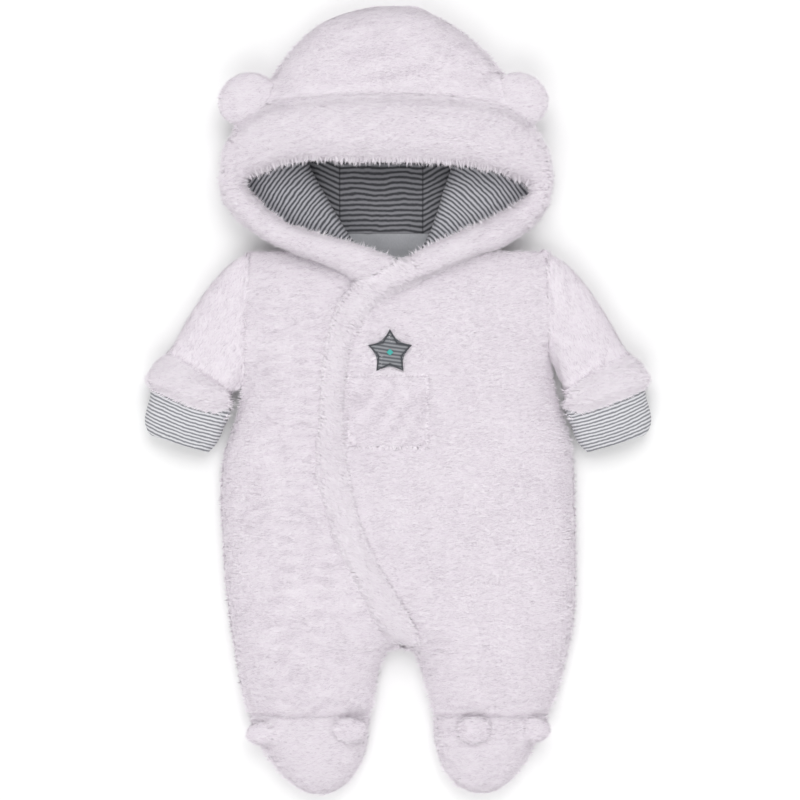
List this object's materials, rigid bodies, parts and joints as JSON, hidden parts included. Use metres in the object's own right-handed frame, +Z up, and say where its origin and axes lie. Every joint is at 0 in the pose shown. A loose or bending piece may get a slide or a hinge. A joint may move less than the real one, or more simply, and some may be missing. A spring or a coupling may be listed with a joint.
{
  "type": "baby snowsuit",
  "caption": "Hooded, footed baby snowsuit of padded white plush with a wrap front, turned-back striped cuffs, a patch pocket and round padded ears, laid flat.",
  "frame": {"origin": "on the surface that the suit lies on, under the middle of its outline", "axes": "+X to the right as seen from above, +Y from the feet to the hood, +Z up from the surface"},
  "size_m": [0.515, 0.7932, 0.081],
  "materials": {
    "plush": "short white plush over wadding, with a faint lilac cast",
    "stripes": "fine grey and off-white striped jersey",
    "facing": "plain mid-grey jersey",
    "badge": "dark and mid-grey striped jersey"
  },
  "bodies": {
    "root": {"back": "plush", "front_lower": "plush", "front_upper": "plush", "placket": "plush", "sleeve_left": "plush", "sleeve_right": "plush", "cuff_roll_left": "plush", "cuff_roll_right": "plush", "hood_back": "plush", "hood_crown": "plush", "face_band": "plush", "foot_left": "plush", "foot_right": "plush", "sole_left": "plush", "sole_right": "plush", "ear_left": "plush", "ear_right": "plush", "foot_ear_left_outer": "plush", "foot_ear_left_inner": "plush", "foot_ear_right_inner": "plush", "foot_ear_right_outer": "plush", "pocket": "plush", "cuff_left": "stripes", "cuff_right": "stripes", "hood_lining": "stripes", "hood_side_lining_left": "stripes", "hood_side_lining_right": "stripes", "neck_facing": "facing", "badge": "badge"}
  },
  "joints": []
}
